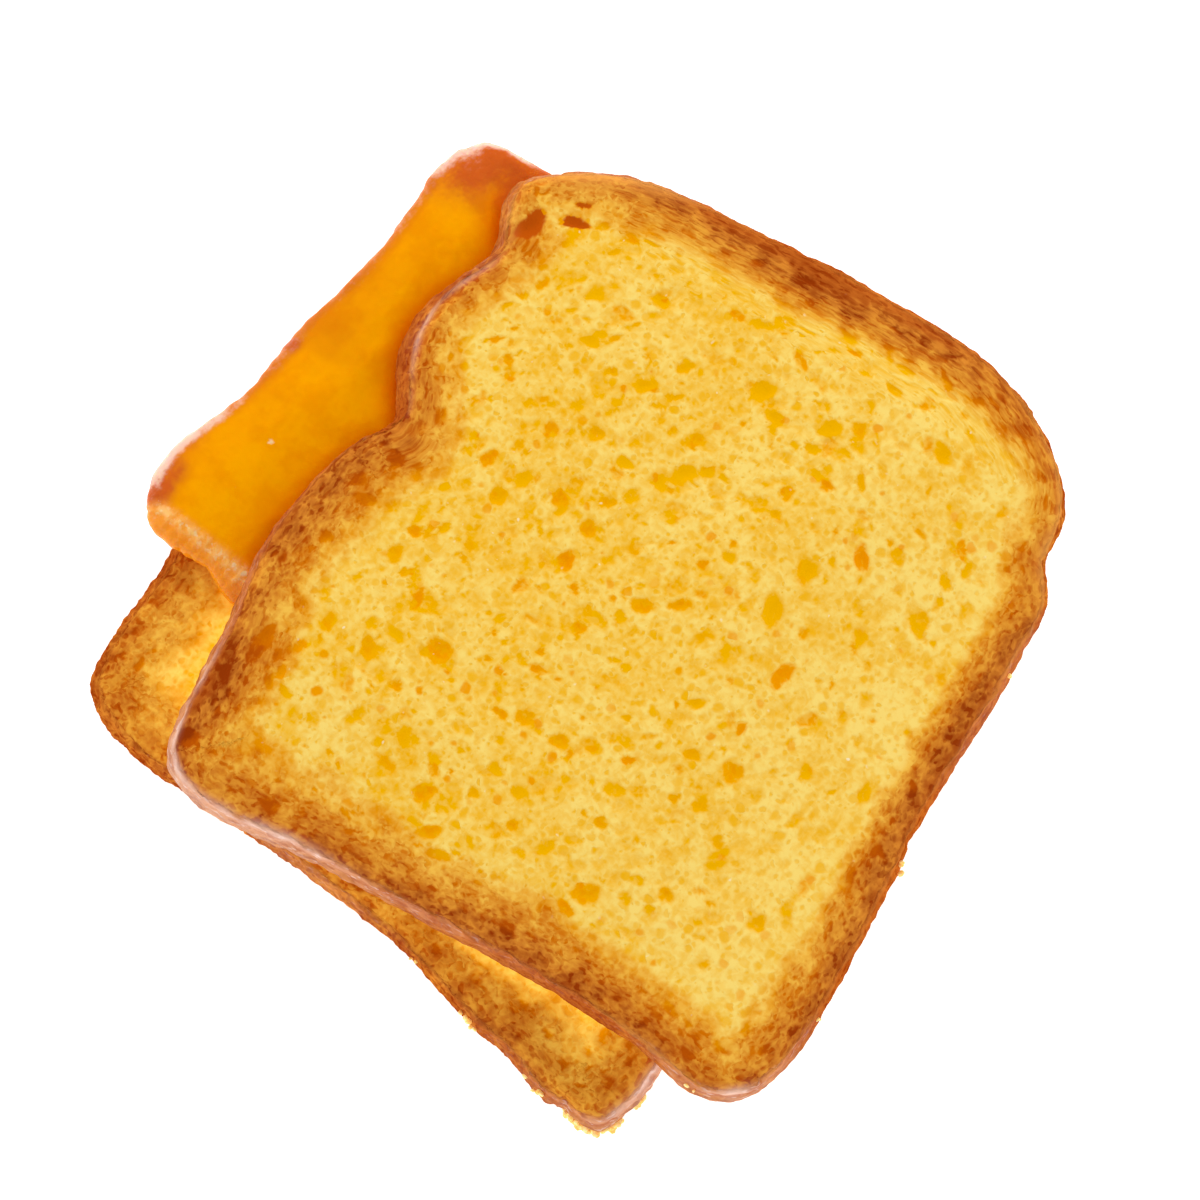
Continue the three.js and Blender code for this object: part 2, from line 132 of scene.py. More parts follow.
LOWER_RIM_FORM = [
    (-38, 8, 0.64, 0.6, 0.5, 0.8, 1.1), (-43, 8, 0.64, 0.6, 0.5, 1.4, 1.15),
    (-48, 8, 0.64, 0.6, 0.5, 1.4, 1), (-52, 8, 0.64, 0.6, 0.5, -1.8, 0.7),
    (-57, 6, 0.69, 0.6, 0.5, 0.2, 0.15), (-62, 5, 0.67, 0.6, 0.5, 1.8, 0.1),
    (-67, 4.8, 0.65, 0.6, 0.5, 1.7, 0), (-72, 4.8, 0.65, 0.6, 0.5, 1.4, 0),
    (-80, 5, 0.63, 0.6, 0.5, 0.5, 0.1), (-96, 6, 0.61, 0.6, 0.5, 0.5, 0.4),
    (-107, 7, 0.57, 0.6, 0.5, 0.6, 0.2), (-122, 8, 0.55, 0.6, 0.5, 1.3, 0),
    (-136, 8.5, 0.59, 0.6, 0.5, 0.8, 0), (-150, 8.5, 0.59, 0.6, 0.5, 1.1, 0),
    (-165, 8, 0.59, 0.6, 0.5, 1, 0), (172, 7, 0.63, 0.6, 0.5, 0.8, 0.2), (140, 7, 0.63, 0.6, 0.5, 0.5, 0.3),
    (90, 8, 0.83, 0.6, 0.5, 0.5, 0.3), (45, 7, 0.63, 0.6, 0.5, 0.5, 0.3), (0, 8, 0.68, 0.6, 0.5, 0.5, 0.5),
]


# ---------------------------------------------------------------- small helpers


def smooth(low, high, values):
    """0 below low, 1 above high, and an even S between them."""
    share = np.clip((values - low) / (high - low), 0, 1)
    return share * share * (3 - 2 * share)


def bell(values, width):
    """1 at 0, falling off to both sides over about the width."""
    return np.exp(-((values / width) ** 2))


def lumps(points, size, seed):
    """Soft noise from -1 to 1 at each point, with lumps of about the given size."""
    offset = Vector((seed * 17.3, seed * 5.1, seed * 9.7))
    return np.array([noise.noise(Vector(p) / size + offset) for p in points])


def turned(points, angle):
    """The points with x and y turned anticlockwise about the origin."""
    c, s = math.cos(angle), math.sin(angle)
    out = points.copy()
    out[:, 0] = c * points[:, 0] - s * points[:, 1]
    out[:, 1] = s * points[:, 0] + c * points[:, 1]
    return out


def deselect_all():
    if bpy.context.mode != "OBJECT":
        bpy.ops.object.mode_set(mode="OBJECT")
    bpy.ops.object.select_all(action="DESELECT")


def make_active(piece):
    deselect_all()
    piece.select_set(True)
    bpy.context.view_layer.objects.active = piece


def shade_smooth(piece):
    make_active(piece)
    bpy.ops.object.shade_smooth()


def apply_modifier(piece, kind, **settings):
    make_active(piece)
    modifier = piece.modifiers.new(kind.lower(), kind)
    for key, value in settings.items():
        setattr(modifier, key, value)
    bpy.ops.object.modifier_apply(modifier=modifier.name)


def remesh(piece, voxel):
    apply_modifier(piece, "REMESH", mode="VOXEL", voxel_size=voxel * MM, use_smooth_shade=True)


def copy_of(node, name):
    """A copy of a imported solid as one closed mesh."""
    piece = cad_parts[node].copy()
    piece.data = piece.data.copy()
    piece.name = piece.data.name = name
    piece.parent = None
    piece.matrix_world = Matrix()
    piece.data.materials.clear()
    bpy.context.collection.objects.link(piece)
    make_active(piece)
    bpy.ops.object.mode_set(mode="EDIT")
    bpy.ops.mesh.select_all(action="SELECT")
    bpy.ops.mesh.remove_doubles(threshold=WELD * MM)
    bpy.ops.object.mode_set(mode="OBJECT")
    return piece


def face_normals(piece):
    flat = np.empty(3 * len(piece.data.polygons))
    piece.data.polygons.foreach_get("normal", flat)
    return flat.reshape(-1, 3)


def vertex_normals(piece):
    flat = np.empty(3 * len(piece.data.vertices))
    piece.data.vertex_normals.foreach_get("vector", flat)
    return flat.reshape(-1, 3)


def read_points(piece):
    flat = np.empty(3 * len(piece.data.vertices))
    piece.data.vertices.foreach_get("co", flat)
    return flat.reshape(-1, 3) / MM


def write_points(piece, points):
    piece.data.vertices.foreach_set("co", (points * MM).ravel())
    piece.data.update()


def add_values(piece, values_by_name):
    """Stores a value for each vertex under each name, for the materials."""
    for name, values in values_by_name.items():
        attribute = piece.data.attributes.new(name, "FLOAT", "POINT")
        attribute.data.foreach_set("value", values.astype(np.float32))


def subdivide_faces(piece, chosen):
    """Divides the chosen faces in four."""
    make_active(piece)
    piece.data.polygons.foreach_set("select", chosen)
    bpy.ops.object.mode_set(mode="EDIT")
    bpy.ops.mesh.select_mode(type="FACE")
    bpy.ops.mesh.subdivide(number_cuts=1)
    bpy.ops.object.mode_set(mode="OBJECT")


def thin_faces(piece, chosen, share):
    """Leaves the given share of the chosen faces."""
    make_active(piece)
    piece.data.polygons.foreach_set("select", chosen)
    bpy.ops.object.mode_set(mode="EDIT")
    bpy.ops.mesh.decimate(ratio=share)
    bpy.ops.object.mode_set(mode="OBJECT")


# ---------------------------------------------------------------- a slice's own frame and its rim


class Rim:
    """A slice's outline at a level through its crust, in the slice's own frame, and the form of its rim."""

    def __init__(self, node, level, centre, turn, form):
        self.centre = centre
        self.turn = turn
        self.form = sorted(form)
        loop = self.section(node, level)
        closed = np.vstack([loop, loop[:1]])
        lengths = np.hypot(*np.diff(closed, axis=0).T)
        arc = np.concatenate([[0], np.cumsum(lengths)])
        self.length = arc[-1]
        count = int(self.length / OUTLINE_STEP)
        self.arc = np.arange(count) * self.length / count
        self.points = np.stack([np.interp(self.arc, arc, closed[:, i]) for i in (0, 1)], axis=1)
        steps = np.arange(-BLUR_POINTS, BLUR_POINTS + 1)
        blur = np.exp(-0.5 * (steps * OUTLINE_STEP / OUTLINE_BLUR) ** 2)
        ring = np.vstack([self.points[-BLUR_POINTS:], self.points, self.points[:BLUR_POINTS]])
        blurred = [np.convolve(ring[:, i], blur / blur.sum(), mode="valid") for i in (0, 1)]
        self.rounding = np.stack(blurred, axis=1) - self.points  # how far the blur moves each point
        ahead = np.roll(self.points, -HEADING_POINTS, axis=0) - np.roll(self.points, HEADING_POINTS, axis=0)
        self.heading = np.arctan2(ahead[:, 1], ahead[:, 0])
        self.outward = np.stack([np.sin(self.heading), -np.cos(self.heading)], axis=1)
        self.tree = kdtree.KDTree(count)
        for i, (x, y) in enumerate(self.points):
            self.tree.insert((x, y, 0), i)
        self.tree.balance()

    def section(self, node, level):
        """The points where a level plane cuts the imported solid's edges, anticlockwise."""
        piece = copy_of(node, "section")
        bpy.ops.object.mode_set(mode="EDIT")
        bpy.ops.mesh.select_all(action="SELECT")
        bpy.ops.mesh.bisect(
            plane_co=(0, 0, level * MM), plane_no=(0, 0, 1), clear_inner=True, clear_outer=True
        )
        bpy.ops.object.mode_set(mode="OBJECT")
        loop = self.to_own(read_points(piece))[:, :2]
        bpy.data.objects.remove(piece)
        return loop[np.argsort(np.arctan2(loop[:, 1], loop[:, 0]))]

    def to_own(self, points):
        """The sandwich's points in the slice's own frame."""
        moved = points.copy()
        moved[:, :2] -= self.centre
        return turned(moved, -self.turn)

    def from_own(self, points):
        out = turned(points, self.turn)
        out[:, :2] += self.centre
        return out

    def nearest(self, points):
        """Each point's distance to the outline, and the index of the outline's nearest point."""
        found = [self.tree.find((x, y, 0)) for x, y in points[:, :2]]
        distance = np.array([f[2] for f in found])
        return distance, np.array([f[1] for f in found])

    def unrolled(self, index, depth):
        """Coordinates that follow the crust: round a circle of the rim's own length, and depth across it."""
        radius = self.length / (2 * math.pi)
        angle = self.arc[index] / radius
        return np.stack([radius * np.cos(angle), radius * np.sin(angle), depth], axis=1)

    def form_at(self, points, name):
        """A column of the rim's form at the points' angles from the slice's middle."""
        column = RIM_COLUMNS.index(name)
        angles = np.array([row[0] for row in self.form], float)
        values = np.array([row[column] for row in self.form], float)
        angles = np.concatenate([angles[-1:] - 360, angles, angles[:1] + 360])
        values = np.concatenate([values[-1:], values, values[:1]])
        return np.interp(np.degrees(np.arctan2(points[:, 1], points[:, 0])), angles, values)


class SlicePoints:
    """Where the points of a slice's mesh lie: in its own frame, from its rim, and on its face or wall."""

    def __init__(self, piece, rim):
        self.own = rim.to_own(read_points(piece))
        self.up = vertex_normals(piece)[:, 2]
        self.distance, self.index = rim.nearest(self.own)
        inner = smooth(2, 3, self.distance)  # steep places this far in are pores, and part of the face
        self.face = np.maximum(smooth(*FACE_SLOPE, self.up), inner * (self.up > 0))
        self.wall = (1 - smooth(*FACE_SLOPE, np.abs(self.up))) * (1 - inner)
        self.below_edge = self.edge_heights(len(rim.arc)) - self.own[:, 2]
        self.unrolled = rim.unrolled(self.index, self.own[:, 2])

    def edge_heights(self, rim_points):
        """The height of the face's edge at each point's place on the rim, smoothed along it."""
        width = 12  # points of the rim that share one value
        bins = rim_points // width
        near = np.flatnonzero((self.face > 0.9) & (self.distance > 1) & (self.distance < 3))
        which = np.minimum(self.index[near] // width, bins - 1)
        count = np.bincount(which, minlength=bins)
        total = np.bincount(which, weights=self.own[near, 2], minlength=bins)
        known = np.flatnonzero(count)
        heights = np.interp(np.arange(bins), known, total[known] / count[known], period=bins)
        heights = (np.roll(heights, 1) + 2 * heights + np.roll(heights, -1)) / 4
        return np.interp(self.index / width - 0.5, np.arange(bins), heights, period=bins)


# ---------------------------------------------------------------- pores


def random_pores(rim, count, seed, crown_stretch):
    """Seeded pores as rows like the large ones, with a strength: many small, few big, long along the rim."""
    rng = random.Random(seed)
    low, high = rim.points.min(axis=0), rim.points.max(axis=0)
    rows = []
    while len(rows) < count:
        x, y = rng.uniform(low[0], high[0]), rng.uniform(low[1], high[1])
        _, index, distance = rim.tree.find((x, y, 0))
        inside = np.hypot(x, y) < np.hypot(*rim.points[index])
        size = SMALLEST_PORE + PORE_SPREAD * rng.random() ** 2.3
        if not inside or distance < PORE_MARGIN + size / 2:
            continue
        near = math.exp(-distance / STRETCH_REACH)
        heading = math.degrees(math.atan2(y, x)) + 90
        if near > 0.14:
            heading = math.degrees(rim.heading[index])
        crown = crown_stretch if y > CROWN_START else 0.4
        stretch = rng.uniform(1.05, 2.1) + 5 * near * crown * rng.random()
        width = size / math.sqrt(stretch) * (1 - 0.35 * near * crown)
        turn = heading + rng.gauss(0, 28 * (1 - near))
        deep = 0.9 * rng.random() ** 3
        strength = 0.25 + 0.75 * rng.random() ** 1.6
        rows.append((x, y, width * stretch, width, turn, deep, strength))
    return rows


def pore_radius(dx, dy, length, width, turn, rng):
    """How far points are from a pore's middle: 1 on its wobbly edge."""
    angle = math.radians(turn)
    along = (dx * math.cos(angle) + dy * math.sin(angle)) / (length / 2)
    across = (dy * math.cos(angle) - dx * math.sin(angle)) / (width / 2)
    around = np.arctan2(across, along)
    wobble = 0.1 * np.sin(2 * around + rng.uniform(0, 6.3))
    wobble += 0.08 * np.sin(3 * around + rng.uniform(0, 6.3))
    return np.hypot(along, across) * (1 + wobble)


def level_across(edge, dx, dy):
    """The height at dx, dy of the plane that fits the edge's points, all taken from the same middle."""
    plane = np.stack([edge[:, 0], edge[:, 1], np.ones(len(edge))], axis=1)
    fit = np.linalg.lstsq(plane, edge[:, 2], rcond=None)[0]
    return fit[0] * dx + fit[1] * dy + fit[2]


def carve_pores(points, face, pores, seed):
    """Sinks the pores into the face. Gives the new points, how much of a pore each point is, and its tone."""
    rng = random.Random(seed)
    out = points.copy()
    pore = np.zeros(len(points))
    tone = np.zeros(len(points))
    sunk = np.zeros(len(points))
    bent = points[:, :2] + 0.35 * np.stack([lumps(points, 1.6, seed + i) for i in (20, 21)], axis=1)
    for x, y, length, width, turn, deep, strength in pores:
        reach = 0.85 * max(length, width)
        near = np.flatnonzero(
            (np.abs(points[:, 0] - x) < reach) & (np.abs(points[:, 1] - y) < reach) & (face > 0.5)
        )
        if not len(near):
            continue
        dx, dy = (bent[near] - (x, y)).T
        radius = pore_radius(dx, dy, length, width, turn, rng)
        around = (radius > 1.15) & (radius < 1.7)
        if length > 2.2 and around.sum() > 8:
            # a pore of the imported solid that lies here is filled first
            level = level_across(points[near[around]] - (x, y, 0), dx, dy)
            out[near, 2] += (level - out[near, 2]) * (1 - smooth(0.9, 1.5, radius))
        depth = min(DEEPEST_PORE, PORE_DEPTH * width) * (0.4 + 0.6 * strength) * (1 + 0.3 * deep)
        bowl = 1 - smooth(0.1, 1.2, radius)
        sunk[near] = np.maximum(sunk[near], depth * bowl)
        here = strength * (1 - smooth(0.65, 1.15, radius))
        tone[near[here > pore[near]]] = deep
        pore[near] = np.maximum(pore[near], here)
    out[:, 2] -= sunk
    return out, pore, tone


# ---------------------------------------------------------------- bread


def add_crust_map(piece, along, across, length):
    """A UV map in millimetres that runs along the rim and, from the edge, inwards or down the crust."""
    mesh = piece.data
    corners = np.empty(len(mesh.loops), np.int64)
    mesh.loops.foreach_get("vertex_index", corners)
    starts = np.empty(len(mesh.polygons), np.int64)
    mesh.polygons.foreach_get("loop_start", starts)
    u = along[corners]
    highest = np.maximum.reduceat(u, starts)
    lowest = np.minimum.reduceat(u, starts)
    totals = np.diff(np.append(starts, len(corners)))
    across_seam = np.repeat(highest - lowest > length / 2, totals)
    u = np.where(across_seam & (u < length / 2), u + length, u)
    uv = np.stack([u, across[corners]], axis=1)
    layer = mesh.uv_layers.new(name="crust")
    layer.data.foreach_set("uv", uv.ravel())


def carve_slice(at, rim, pores, underside, seed, roughness):
    """The carved and wrinkled points, how much of a pore each is, and its tone."""
    carved, pore, tone = carve_pores(at.own, at.face, pores, seed)
    carved[:, 2] += at.face * (0.07 * lumps(at.own, 1.5, seed) + 0.14 * lumps(at.own, 9, seed + 2))
    rounded_down = (1 - smooth(0, EDGE_REACH, at.distance)) ** 1.6
    carved[:, 2] -= at.face * rim.form_at(at.own, "drop") * rounded_down
    wrinkles = 0.45 * lumps(at.unrolled / (7, 7, 3), 1, seed + 3)
    wrinkles += 0.3 * lumps(at.unrolled / (2.6, 2.6, 1.6), 1, seed + 4)
    wrinkles += roughness * lumps(at.unrolled, 1.2, seed + 8)
    swell = rim.form_at(at.own, "swell") * (1 - smooth(0, EDGE_REACH, at.distance))
    carved[:, :2] += rim.outward[at.index] * (at.wall * wrinkles + swell)[:, None]
    carved[:, :2] += rim.rounding[at.index] * (1 - smooth(0, ROUNDING_REACH, at.distance))[:, None]
    if underside:
        below = smooth(*FACE_SLOPE, -at.up)
        mirrored = carved * (1, 1, -1)
        under, under_pore, under_tone = carve_pores(mirrored, below, underside, seed + 5)
        turned_down = np.flatnonzero(below > 0.5)
        carved[turned_down, 2] = -under[turned_down, 2]
        pore[turned_down] = under_pore[turned_down]
        tone[turned_down] = under_tone[turned_down]
    return carved, pore, tone


def bright_lines(at, rim, seed):
    """Where a highlight is painted on the crust: in a broken line below glossy edges, and on a fold of the
    most rounded ones.
    """
    patches = np.clip(0.6 + 0.8 * lumps(at.unrolled, 4, seed + 10), 0, 1)
    line = bell(at.below_edge - 1.4 - 0.8 * lumps(at.unrolled, 9, seed + 9), 1.1)
    glossy = smooth(0.8, 1.2, rim.form_at(at.own, "pale"))
    line = line * patches * glossy * (1 - smooth(1, 2.5, at.distance)) * 0.8
    fold = bell(at.distance - 2.4 - 0.7 * lumps(at.unrolled, 7, seed + 12), 0.7) * at.face
    rounded = smooth(1.2, 2.2, rim.form_at(at.own, "drop"))
    return np.maximum(line, 0.55 * rounded * patches * fold)


def shape_bread(piece, rim, pores, seed, roughness, underside=()):
    """Carves a remeshed slice and stores what its material reads."""
    at = SlicePoints(piece, rim)
    across = np.where(np.abs(at.up) > 0.6, at.distance, -at.below_edge)
    add_crust_map(piece, rim.arc[at.index], across, rim.length)
    carved, pore, tone = carve_slice(at, rim, pores, underside, seed, roughness)
    write_points(piece, rim.from_own(carved))

    ragged = at.distance + 1.2 * lumps(at.own, 6, seed + 6) + 0.5 * lumps(at.own, 2.2, seed + 7)
    band = np.clip(1.15 - ragged / rim.form_at(at.own, "width") / 1.5, 0, 1)
    below_light = 1 - smooth(0.7, 1.8, at.below_edge) * at.wall
    crown = smooth(38, 54, at.own[:, 1]) * smooth(-48, -28, at.own[:, 0])
    pale = rim.form_at(at.own, "pale") * np.maximum(at.wall, 0.6 * np.exp(-at.distance / 0.8))
    from_upper, _ = UPPER_RIM.nearest(UPPER_RIM.to_own(read_points(piece)))
    add_values(piece, {
        "pore": pore,
        "tone": tone,
        "wall": at.wall,
        "depth": at.below_edge,  # below the face's edge
        "brown": rim.form_at(at.own, "dark") * band,
        "edge": bell(at.distance, rim.form_at(at.own, "light_width")) * below_light,  # a lighter edge
        "pale": pale * (1 - smooth(0, 3, at.distance)),
        # painted highlights along the crust
        "shine": bright_lines(at, rim, seed),
        "streak": np.exp(-at.distance / 21) * crown,  # where the pores are drawn out most
        "glow": np.exp(-from_upper / GLOW_REACH) * (at.up > 0),  # painted light: the face glows and is painted less toasted here, as if light came in beside the upper slice
        "fair": smooth(0, 50, at.own[:, 0]),  # the right side is toasted least
    })
    shade_smooth(piece)


UPPER_RIM = Rim("bread_slice_top", UPPER_LEVEL, UPPER_CENTRE, UPPER_TURN, UPPER_RIM_FORM)
LOWER_RIM = Rim("bread_slice_bottom", LOWER_LEVEL, LOWER_CENTRE, 0, LOWER_RIM_FORM)


def make_upper_slice():
    piece = copy_of("bread_slice_top", "upper_slice")
    remesh(piece, UPPER_VOXEL)
    thin_faces(piece, face_normals(piece)[:, 2] < -0.95, HIDDEN_SHARE)
    subdivide_faces(piece, face_normals(piece)[:, 2] > -0.5)
    pores = random_pores(UPPER_RIM, UPPER_PORES, seed=5, crown_stretch=1)
    pores += [(*row, LARGE_PORE_STRENGTH) for row in LARGE_PORES]
    shape_bread(piece, UPPER_RIM, pores, seed=11, roughness=0.16)
    return piece


def make_lower_slice():
    piece = copy_of("bread_slice_bottom", "lower_slice")
    remesh(piece, LOWER_VOXEL)
    pores = random_pores(LOWER_RIM, LOWER_PORES, seed=23, crown_stretch=0.5)
    underside = random_pores(LOWER_RIM, UNDERSIDE_PORES, seed=31, crown_stretch=0.5)
    shape_bread(piece, LOWER_RIM, pores, seed=29, roughness=0.4, underside=underside)
    points = read_points(piece)
    points[:, 2] = np.maximum(points[:, 2], 0)
    write_points(piece, points)
    return piece


# ---------------------------------------------------------------- cheese

# Places on the cheese from its middle: x, y, radius and how strong. Where the heat has browned it,
CHEESE_BROWNING = [
    (-42, 43, 16, 0.95), (-31, 45, 13, 0.8), (-45, -37.5, 4.6, 1), (-45.5, -34, 5, 0.7), (-47, -27, 5, 0.5),
    (-47, -9, 6, 0.7), (-44, -4, 3, 0.8), (-47, 0, 4, 0.4), (-46, 20, 6, 0.5), (-46, 33, 8, 0.6),
]
# where its glassy lip carries a pale painted reflection of the white surroundings,
LIP_REFLECTION_SPOTS = [
    (-48, -31, 9, 1), (-47, -24, 7, 0.8), (-46, -18, 5, 0.5), (-44, -42, 6, 0.25), (-37, -46, 8, 0.15),
    (-45, 40, 8, 0.8), (-38, 46, 9, 0.9), (-46, -6, 8, 0.35), (-46, 12, 12, 0.25), (-46, 27, 10, 0.35),
]
# and where a highlight is painted to glint on a fat bubble.
CHEESE_GLINTS = [
    (-34.9, -19.9, 0.9, 0.8), (-35.4, -28, 0.45, 0.6), (-34.3, -29.4, 0.45, 0.5), (-32.6, -23.9, 0.45, 0.5),
    (-42, 41, 0.6, 0.7), (-25.5, 14.5, 0.5, 0.6), (-23.9, -39.5, 0.7, 0.8), (-26.3, -39.6, 0.6, 0.8),
]
# How far its edge lies out from the solid's, by the angle from its middle.
CHEESE_EDGE = [
    (100, 0), (122, 0), (129, -0.7), (137, 0), (155, 0.2), (173, 0.3), (-170, 0.4), (-160, 0), (-151, 0.1),
    (-143, 0.3), (-134, 1), (-126, 0.3), (-110, 0),
]
CHEESE_SWELL = 0.25  # how far the surface lies out from the solid's
CHEESE_SIDE_SWELL = 0.65  # and how much more on its sides
END_START, END_FULL = 37.5, 40  # how far down from the middle the bumpy end begins
END_SHEEN_LINE = 39.8  # where a painted highlight lies along that end
END_SHEEN_WIDTH = 1.1
DRIP_PLACE = -23  # the low edge's drip, along x from the middle
DRIP_WIDTH = 4.5
DRIP_LENGTH = 2.2
LIT_SLOPE_FACING = (-0.78, -0.62)  # painted shade: slopes that face this way, toward the bright side, are painted a darker orange
SHADED_REACH = 3  # how far out the painted contact shadow of the upper slice reddens the cheese beside it


def spotted(place, spots, inner):
    """The strongest of the spots at each place: full within the inner share of a spot's radius."""
    value = np.zeros(len(place))
    for x, y, radius, strength in spots:
        distance = np.hypot(place[:, 0] - x, place[:, 1] - y)
        value = np.maximum(value, strength * (1 - smooth(inner, 1.1, distance / radius)))
    return value


def melted(points, normals, place, side, end):
    """The cheese's points with soft lumps, ragged sides, a bubbly end, a shifted edge and a drip."""
    soft = CHEESE_SWELL + 0.12 * lumps(points, 7, 41) + 0.05 * lumps(points, 2.5, 46)
    ragged = 0.35 * lumps(points, 5, 44) + 0.3 * lumps(points, 2.2, 42)
    bubbles = 0.4 * np.abs(lumps(points, 1.8, 43)) + 0.2 * lumps(points, 1.1, 45)
    swell = soft + side * (CHEESE_SIDE_SWELL + ragged) + end * bubbles
    around = np.degrees(np.arctan2(place[:, 1], place[:, 0])) % 360
    angles, outs = np.array(CHEESE_EDGE, float).T
    out = side * np.interp(around, angles % 360, outs)
    drip = DRIP_LENGTH * bell(place[:, 0] - DRIP_PLACE, DRIP_WIDTH) * smooth(38, 43, -place[:, 1])
    return points + normals * (swell + out)[:, None] - drip[:, None] * (0, 1, 0)


def make_cheese():
    """The melted slice, with what its material reads."""
    piece = copy_of("cheese_slice", "melted_cheese")
    remesh(piece, CHEESE_VOXEL)
    apply_modifier(piece, "SMOOTH", iterations=6, factor=0.5)
    points = read_points(piece)
    normals = vertex_normals(piece)
    up = normals[:, 2]
    place = points - (*CHEESE_CENTRE, 0)
    side = 1 - smooth(0.35, 0.8, np.abs(up))
    slope = (1 - smooth(0.6, 0.96, up)) * smooth(-0.05, 0.3, up)
    end = smooth(END_START, END_FULL, -place[:, 1]) * smooth(0, 0.3, up + side)
    to_bread, _ = UPPER_RIM.nearest(UPPER_RIM.to_own(points))
    write_points(piece, melted(points, normals, place, side, end))
    add_values(piece, {
        "side": side,
        "end": end,
        # painted highlight along the bumpy low end
        "end_sheen": end * bell(place[:, 1] + END_SHEEN_LINE, END_SHEEN_WIDTH) * (1 - 0.5 * side),
        "brown": spotted(place, CHEESE_BROWNING, 0.1),
        # painted reflection on the glassy lip
        "lip_reflection": spotted(place, LIP_REFLECTION_SPOTS, 0.5) * slope,
        # painted shade on slopes that catch the side light
        "lit_slope_shade": np.clip(normals[:, :2] @ LIT_SLOPE_FACING, 0, 1) * (up > 0),
        "glint": spotted(place, CHEESE_GLINTS, 0.3) * (1 - side),
        # painted contact shadow beside the upper slice
        "under": bell(to_bread, SHADED_REACH),
    })
    shade_smooth(piece)
    return piece


# ---------------------------------------------------------------- crumbs

# Where crumbs cling to a slice's rim: the angle from its middle, the height, how far out they reach, their
# size and how many there are.
LOWER_CRUMBS = [
    (-64.5, 8, 0.8, 1.3, 4), (-62.5, 7, 0.7, 1.1, 3), (-56, 7, 0.8, 1.5, 4), (-51, 3, 0.7, 1.5, 12),
    (-49, 3, 0.8, 1.6, 14), (-46.5, 3, 0.7, 1.6, 12), (-44, 4, 0.6, 1.4, 8), (-75, 8, 0.4, 1, 2),
    (-88, 7, 0.4, 0.9, 2), (-112, 6, 0.4, 1.1, 2),
]
UPPER_CRUMBS = [(-16, 22, 0.9, 1.5, 3), (19, 24, 0.5, 1.1, 2), (-37, 23, 0.5, 1, 2), (-55, 22, 0.5, 1.1, 2)]
CRUMB_SEED = 77
CRUMB_SPREAD = 1.1  # degrees to each side of the row's angle
CRUMB_RISE = 1.2  # above or below the row's height
CRUMB_SUNK = 0.2  # how far into the crust the nearest ones sit
CRUMB_LUMPS = 0.22


def add_crumb(rng, place, size):
    bpy.ops.mesh.primitive_ico_sphere_add(
        subdivisions=2,
        radius=0.5 * size * rng.uniform(0.6, 1.1) * MM,
        location=place,
        rotation=[rng.uniform(0, 6.28) for _ in range(3)],
        scale=(1, rng.uniform(0.6, 0.9), rng.uniform(0.5, 0.8)),
    )
    return bpy.context.active_object


def make_crumbs():
    """Small crumbs that cling to the rims, in one mesh."""
    rng = random.Random(CRUMB_SEED)
    deselect_all()
    blobs = []
    for rim, rows in ((LOWER_RIM, LOWER_CRUMBS), (UPPER_RIM, UPPER_CRUMBS)):
        angles = np.degrees(np.arctan2(rim.points[:, 1], rim.points[:, 0]))
        for angle, height, reach, size, count in rows:
            for _ in range(count):
                index = int(np.argmin(np.abs(angles - angle - rng.uniform(-CRUMB_SPREAD, CRUMB_SPREAD))))
                edge = rim.points[index] + rim.rounding[index]
                out = rim.form_at(edge[None], "swell")[0] - CRUMB_SUNK + reach * rng.random()
                x, y = edge + rim.outward[index] * out
                own = np.array([[x, y, height + rng.uniform(-CRUMB_RISE, CRUMB_RISE)]])
                blobs.append(add_crumb(rng, rim.from_own(own)[0] * MM, size))
    for blob in blobs:
        blob.select_set(True)
    bpy.ops.object.join()
    piece = bpy.context.active_object
    piece.name = piece.data.name = "loose_crumbs"
    bpy.ops.object.transform_apply(location=True, rotation=True, scale=True)
    points = read_points(piece)
    rough = CRUMB_LUMPS * lumps(points, 0.6, CRUMB_SEED + 1)
    write_points(piece, points + vertex_normals(piece) * rough[:, None])
    shade_smooth(piece)
    return piece


# ---------------------------------------------------------------- shader maths


class Value:
    """A node's socket that takes part in Python arithmetic. Each operation adds its Math node."""

    def __init__(self, shader, socket):
        self.shader = shader
        self.socket = socket

    def _math(self, operation, *inputs):
        return self.shader.node("ShaderNodeMath", {"operation": operation}, dict(enumerate(inputs)))

    def __add__(self, other):
        return self._math("ADD", self, other)

    def __sub__(self, other):
        return self._math("SUBTRACT", self, other)

    def __rsub__(self, other):
        return self._math("SUBTRACT", other, self)

    def __mul__(self, other):
        return self._math("MULTIPLY", self, other)

    def or_more(self, other):
        """The larger of two values."""
        return self._math("MAXIMUM", self, other)

    def above(self, level):
        """1 above the level and 0 below it."""
        return self._math("GREATER_THAN", self, level)

    def ramp(self, low, high):
        """0 at low, 1 at high, and an even S between them."""
        inputs = {"Value": self, "From Min": low, "From Max": high}
        return self.shader.node("ShaderNodeMapRange", {"interpolation_type": "SMOOTHSTEP"}, inputs)


